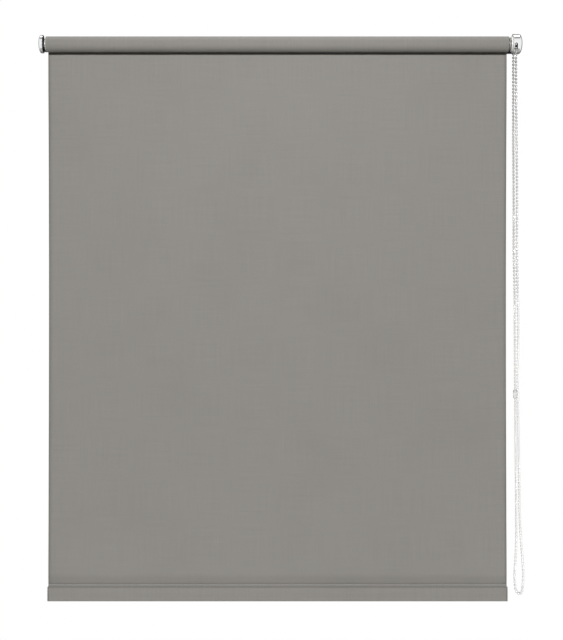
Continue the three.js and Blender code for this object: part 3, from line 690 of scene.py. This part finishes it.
def spun_cap(at_x, outwards, radius, rim, shoulder, dome, wall):
    """A round cover, open towards the roller at its rim, straight sided to the shoulder and domed
    beyond it. Distances along the roller are measured outwards from at_x."""

    def quarter(reach, height):
        points = []
        for step in range(21):
            angle = math.radians(4.5 * step)
            up = height * math.sin(angle) ** (2 / fullness)
            points.append((shoulder + up, reach * max(math.cos(angle), 0) ** (2 / fullness)))
        points[-1] = (shoulder + height, 0)
        return points

    outside = [(rim, radius), (rim + (shoulder - rim) / 2, radius), *quarter(radius, dome)]
    inside = [*quarter(radius - wall, dome - wall)[::-1], (rim, radius - wall)]
    mesh = bmesh.new()
    row = [mesh.verts.new((at_x + outwards * out, axis_y, reach)) for out, reach in outside + inside]
    for a, b in zip(row, [*row[1:], row[0]]):
        mesh.edges.new((a, b))
    bmesh.ops.spin(
        mesh, geom=mesh.verts[:] + mesh.edges[:], cent=(at_x, axis_y, 0), axis=(1, 0, 0),
        angle=2 * math.pi, steps=96, use_merge=True,
    )
    bmesh.ops.remove_doubles(mesh, verts=mesh.verts, dist=1e-6)
    bmesh.ops.dissolve_degenerate(mesh, dist=1e-7, edges=mesh.edges)
    bmesh.ops.recalc_face_normals(mesh, faces=mesh.faces)
    return mesh


def block(low, high):
    mesh = bmesh.new()
    middle = [(a + b) / 2 for a, b in zip(low, high)]
    size = [b - a for a, b in zip(low, high)]
    bmesh.ops.create_cube(mesh, size=1, matrix=Matrix.Translation(middle) @ Matrix.Diagonal((*size, 1)))
    return mesh


def arch(width, foot_width, top, bottom, front, back):
    """An opening with a round top and widening feet, drawn about X = 0 and carried front to back."""
    mesh = bmesh.new()
    bmesh.ops.create_circle(mesh, segments=48, radius=width / 2)
    low = [v for v in mesh.verts if v.co.y < -1e-6]
    bmesh.ops.delete(mesh, geom=low, context="VERTS")
    ends = [v for v in mesh.verts if abs(v.co.y) < 1e-6]
    feet = bmesh.ops.extrude_vert_indiv(mesh, verts=ends)["verts"]
    bmesh.ops.scale(mesh, verts=feet, vec=(foot_width / width, 1, 1))
    bmesh.ops.translate(mesh, verts=feet, vec=(0, bottom - top + width / 2, 0))
    mesh.edges.new(feet)
    sheet = bmesh.ops.edgeloop_fill(mesh, edges=mesh.edges)["faces"]
    grown = bmesh.ops.extrude_face_region(mesh, geom=sheet)["geom"]
    moved = [part for part in grown if isinstance(part, bmesh.types.BMVert)]
    bmesh.ops.translate(mesh, verts=moved, vec=(0, 0, back - front))
    bmesh.ops.recalc_face_normals(mesh, faces=mesh.faces)
    upright = Matrix.Translation((0, back, top - width / 2)) @ Matrix.Rotation(math.radians(90), 4, "X")
    bmesh.ops.transform(mesh, matrix=upright, verts=mesh.verts)
    return mesh


def carved(mesh, cutters):
    """The shape left after the cutters are taken out of it."""
    def as_object(part):
        data = bpy.data.meshes.new("carving")
        part.to_mesh(data)
        part.free()
        made = bpy.data.objects.new("carving", data)
        scene.collection.objects.link(made)
        return made

    body = as_object(mesh)
    tools = [as_object(cutter) for cutter in cutters]
    for tool in tools:
        taken = body.modifiers.new("carving", "BOOLEAN")
        taken.object = tool
        taken.operation = "DIFFERENCE"
        taken.solver = "EXACT"
    left = bmesh.new()
    left.from_object(body, bpy.context.evaluated_depsgraph_get())
    for made in (body, *tools):
        bpy.data.objects.remove(made)
    bmesh.ops.remove_doubles(left, verts=left.verts, dist=2e-6)
    bmesh.ops.dissolve_degenerate(left, dist=1e-6, edges=left.edges)
    return left


def plated(mesh, name, stands_for, at_x, outwards, radius, shoulder, dome, wall):
    """A finished cover, chrome outside, whose inside faces are near-black: painted shade for the shadow
    inside the cap.
    """
    for face in mesh.faces:
        middle = face.calc_center_median()
        reach = min(math.hypot(middle.y - axis_y, middle.z) / radius, 1)
        skin = shoulder + dome * (1 - reach ** fullness) ** (1 / fullness)
        inside = outwards * (middle.x - at_x) < skin - 0.6 * wall and reach < 1 - 0.6 * wall / radius
        face.material_index = int(inside)
    cover = finished(mesh, name, "root", chrome, [stands_for], crease=40)
    cover.data.materials.append(painted_shade_inside)


cover_low, cover_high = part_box("control_cover")
bracket_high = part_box("control_bracket")[1]
cover_radius = (cover_high[2] - cover_low[2]) / 2
cover_dome = 6.4 * mm
window_width = 7.6 * mm
arch_width = 4.6 * mm
window_top = -1 * mm
rear_top = -2 * mm
window_depth = wheel_pitch_radius - ball_across / 2 - play
beyond = cover_radius + 2 * mm
shape = (half_width, 1, cover_radius)
depths = (cover_high[0] - half_width - cover_dome, cover_dome, cover_wall)
shell = spun_cap(*shape, cover_low[0] - half_width, *depths)
window = arch(
    arch_width, window_width, window_top, -beyond, axis_y - beyond, axis_y - window_depth
)
bmesh.ops.translate(window, verts=window.verts, vec=(chain_x, 0, 0))
rear_slot = block(
    (chain_x - window_width / 2, axis_y + window_depth, -beyond),
    (chain_x + window_width / 2, axis_y + beyond, rear_top),
)
bracket_thickness = 1.5 * mm
leg_top = 13 * mm
control_leg_bottom = -10 * mm
bracket_slot = block(
    (bracket_high[0] - bracket_thickness - play, axis_y, control_leg_bottom - play),
    (bracket_high[0] + play, axis_y + beyond, leg_top + play),
)
plated(
    carved(shell, [window, rear_slot, bracket_slot]), "cover_control_end", "control_cover", *shape, *depths
)


# ---- Idle bracket and its bush ----
# The left-hand bracket is a mirror of the other. A white bush snapped into its head takes the sprung
# pin of the idle plug.

finished(
    cad_copy("idle_bracket"), "bracket_idle_end", "root", powder, ["idle_bracket"],
    eased=0.25 * mm,
)
finished(
    cad_copy("bracket_bush"), "bush_of_pin", "root", white, ["bracket_bush"],
    eased=0.1 * mm,
)


# ---- Idle plug, pin and spring ----
# The plug fits the tube's left end and turns with it on a steel pin. A polished ring runs round its
# neck. The spring behind the pin's collar lets it be pushed in, to drop the roller into its brackets.

plug = finished(
    cad_copy("idle_plug"), "plug_of_roller", "roller", white, ["idle_plug"],
    eased=0.2 * mm,
)
ring_round_neck(
    plug, -half_width - 4.8 * mm, -half_width - 1.6 * mm, inside=8.2 * mm, outside=8.7 * mm
)
dress(["idle_pin", "spring_seat_ring"], spring_wire)
spring = finished(
    cad_copy("pin_spring"), "spring_of_pin", "roller", spring_wire, ["pin_spring"]
)
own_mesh(spring)


# ---- Idle cover ----
# A shallower cap, plated outside and near-black inside like the other, the black being painted shade. It is
# pressed over the left-hand bracket's head.

cap_low, cap_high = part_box("idle_cover")
idle_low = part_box("idle_bracket")[0]
cap_radius = (cap_high[2] - cap_low[2]) / 2
shape = (-half_width, -1, cap_radius)
cap_dome = 4 * mm
idle_leg_bottom = -7 * mm
depths = (-cap_low[0] - half_width - cap_dome, cap_dome, cover_wall)
shell = spun_cap(*shape, -cap_high[0] - half_width, *depths)
plate_slot = block(
    (idle_low[0] - play, axis_y, idle_leg_bottom - play),
    (idle_low[0] + bracket_thickness + play, axis_y + beyond, leg_top + play),
)
plated(carved(shell, [plate_slot]), "cover_idle_end", "idle_cover", *shape, *depths)
